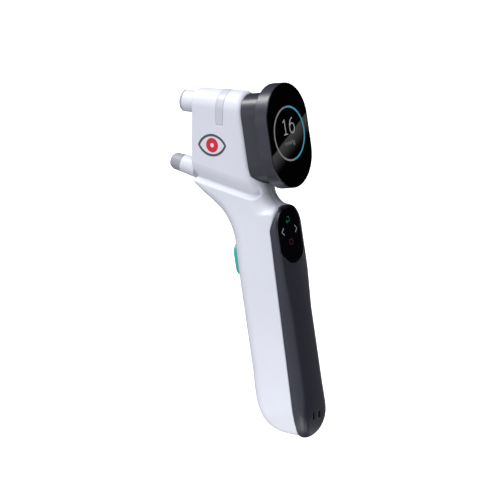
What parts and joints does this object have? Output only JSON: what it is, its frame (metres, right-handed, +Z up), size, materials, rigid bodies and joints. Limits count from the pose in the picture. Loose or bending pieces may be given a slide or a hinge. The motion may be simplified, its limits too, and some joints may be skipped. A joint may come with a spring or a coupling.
{
  "type": "rebound tonometer",
  "caption": "Handheld rebound tonometer: slim leaning grip, round-ended reading screen on a neck, probe nose with a push-fit collar, sliding forehead rest and front trigger button.",
  "frame": {"origin": "centre of the bounding box's underside, with the instrument held as it is used, its head level", "axes": "+Z up, +Y towards the patient along the forehead rest, +X to the user's right across the instrument, which is symmetric in X outside"},
  "size_m": [0.0466, 0.1078, 0.2251],
  "materials": {
    "housing_white": "satin white moulded shell",
    "slate_plastic": "dark slate, fine satin",
    "black_window": "gloss black window",
    "screen_glass": "black backed cover glass",
    "light_band": "frosted light guide",
    "button_teal": "satin teal",
    "collar_grey": "mid grey satin",
    "pad_rubber": "soft grey rubber",
    "inner_plastic": "black moulding",
    "circuit_board": "solder mask",
    "brass": "plain",
    "ribbon": "flexible circuit",
    "copper_winding": "enamelled copper wire",
    "screw_steel": "zinc plated",
    "cell_sleeve": "shrink sleeve over a metal can"
  },
  "bodies": {
    "housing": {"housing_left": "housing_white", "housing_right": "housing_white", "nose_cone": "housing_white", "grip_back_cover": "slate_plastic", "display_bezel": "slate_plastic", "display_neck": "slate_plastic", "keypad_window": "black_window", "display_glass": "screen_glass", "light_band": "light_band", "rest_brake_pad": "pad_rubber", "rest_guide_sleeve": "inner_plastic", "coil_bobbin": "inner_plastic", "battery_cradle": "inner_plastic", "beeper": "inner_plastic", "measure_switch": "inner_plastic", "display_module": "inner_plastic", "keypad_touch_board": "circuit_board", "display_board": "circuit_board", "amplifier_board": "circuit_board", "main_board": "circuit_board", "switch_board": "circuit_board", "band_lamp_board_left": "circuit_board", "band_lamp_board_right": "circuit_board", "probe_base": "brass", "battery_contact_top": "brass", "battery_contact_bottom": "brass", "display_ribbon": "ribbon", "drive_coil": "copper_winding", "sense_coil": "copper_winding", "coil_shield": "screw_steel", "housing_screw_front": "screw_steel", "housing_screw_rear": "screw_steel", "housing_screw_neck": "screw_steel", "housing_screw_grip": "screw_steel", "housing_screw_heel": "screw_steel", "battery_cell": "cell_sleeve"},
    "forehead_rest": {"forehead_rest_tube": "housing_white", "forehead_rest_pad": "pad_rubber"},
    "collar": {"probe_collar": "collar_grey"},
    "button": {"measure_button": "button_teal"}
  },
  "joints": [
    {"name": "forehead_rest_slide", "type": "slide", "parent": "housing", "child": "forehead_rest", "axis": [0, 1, 0], "range_m": [-0.0095, 0.012]},
    {"name": "collar_pull", "type": "slide", "parent": "housing", "child": "collar", "axis": [0, 0.9866, 0.1633], "range_m": [0, 0.018]},
    {"name": "measure_button_press", "type": "slide", "parent": "housing", "child": "button", "axis": [0, -0.9857, 0.1685], "range_m": [0, 0.0012], "stiffness_N_per_m": 1200, "springref_m": -0.0008}
  ]
}
